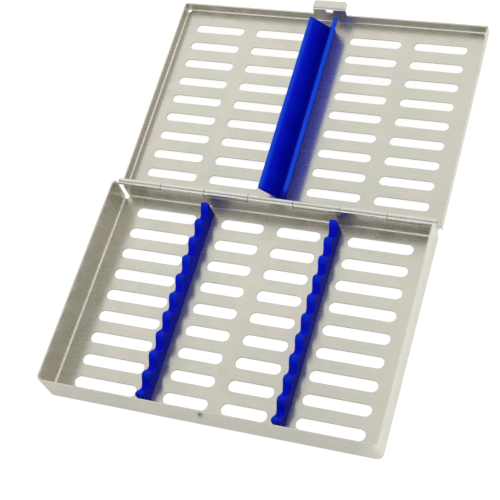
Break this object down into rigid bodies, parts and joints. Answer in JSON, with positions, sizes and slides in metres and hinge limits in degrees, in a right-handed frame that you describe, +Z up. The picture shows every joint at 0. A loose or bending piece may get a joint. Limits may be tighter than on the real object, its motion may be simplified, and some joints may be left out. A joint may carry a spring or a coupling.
{
  "type": "dental instrument cassette",
  "caption": "Hinged perforated steel cassette, shown open, with scalloped silicone racks in the base, a silicone hold-down bar in the lid and a latch tab.",
  "frame": {"origin": "middle of the base tray's underside", "axes": "+Z up, +Y from the front wall to the hinge and on over the opened lid, +X along the hinge to the right"},
  "size_m": [0.2054, 0.2912, 0.0225],
  "materials": {
    "tray_steel": "satin stainless sheet",
    "pin_steel": "drawn stainless wire",
    "rail_steel": "plain stainless strip",
    "silicone": "smooth moulded silicone"
  },
  "bodies": {
    "base": {"base_tray": "tray_steel", "hinge_pin": "pin_steel", "rack_rail_left": "rail_steel", "rack_rail_right": "rail_steel", "instrument_rack_left": "silicone", "instrument_rack_right": "silicone", "catch_stud": "pin_steel"},
    "lid": {"lid_tray": "tray_steel", "bar_rail": "rail_steel", "hold_down_bar": "silicone"}
  },
  "joints": [
    {"name": "lid_hinge", "type": "hinge", "parent": "base", "child": "lid", "pos_m": [0, 0.07105, 0.0144], "axis": [1, 0, 0], "range_deg": [0, 177.3]}
  ]
}
